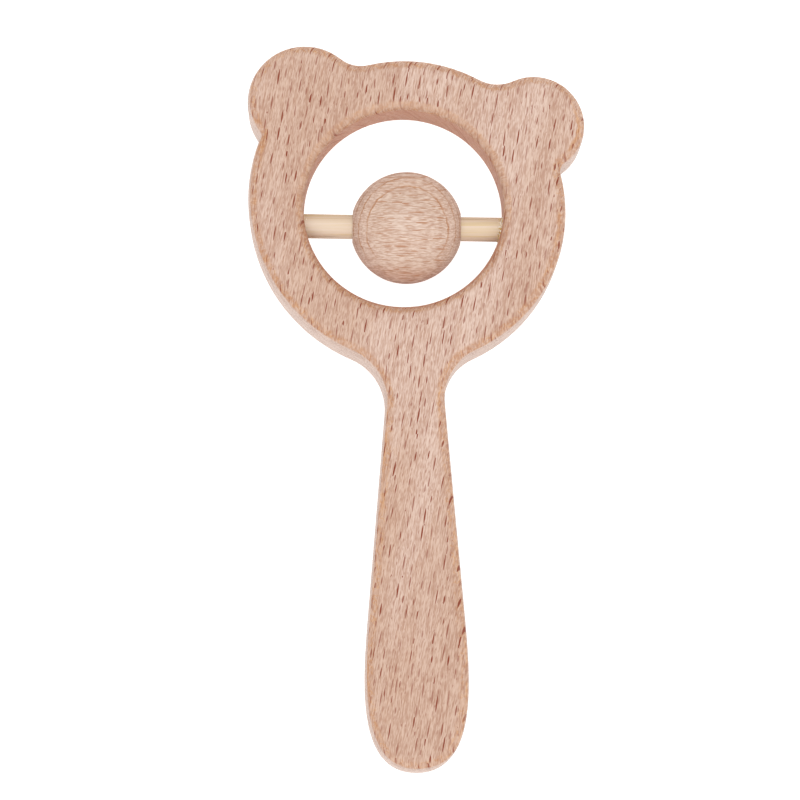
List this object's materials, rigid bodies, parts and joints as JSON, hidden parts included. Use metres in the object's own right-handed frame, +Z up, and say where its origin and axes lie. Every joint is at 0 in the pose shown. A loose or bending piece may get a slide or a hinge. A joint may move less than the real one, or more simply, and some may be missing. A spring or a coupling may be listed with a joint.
{
  "type": "baby rattle",
  "caption": "Flat wooden hand rattle: a bear-head ring with a paddle handle, and a turned bead that slides and spins on a dowel across its round window.",
  "frame": {"origin": "under the middle of the rattle's outer box, at the height of the bead's lowest point, with the board lying flat", "axes": "+Y from the handle to the head, +Z up out of the front face, +X to the head's right along the dowel"},
  "size_m": [0.0672, 0.1445, 0.0224],
  "materials": {
    "beech_board": "bare sanded beech, satin",
    "beech_bead": "bare turned beech, satin",
    "bamboo": "bare bamboo, satin",
    "glue": "cured clear wood glue"
  },
  "bodies": {
    "frame": {"bear_frame": "beech_board", "bead_dowel": "bamboo", "glue_film_left": "glue", "glue_film_right": "glue"},
    "bead_carrier": {"bead_bore_wall": "beech_bead"},
    "bead": {"bead": "beech_bead"}
  },
  "joints": [
    {"name": "bead_slide", "type": "slide", "parent": "frame", "child": "bead_carrier", "axis": [0.9998, -0.0209, 0], "range_m": [-0.0087, 0.0073]},
    {"name": "bead_spin", "type": "hinge", "parent": "bead_carrier", "child": "bead", "pos_m": [-0.00196, 0.03594, 0.0112], "axis": [0.9998, -0.0209, 0], "continuous": true}
  ]
}
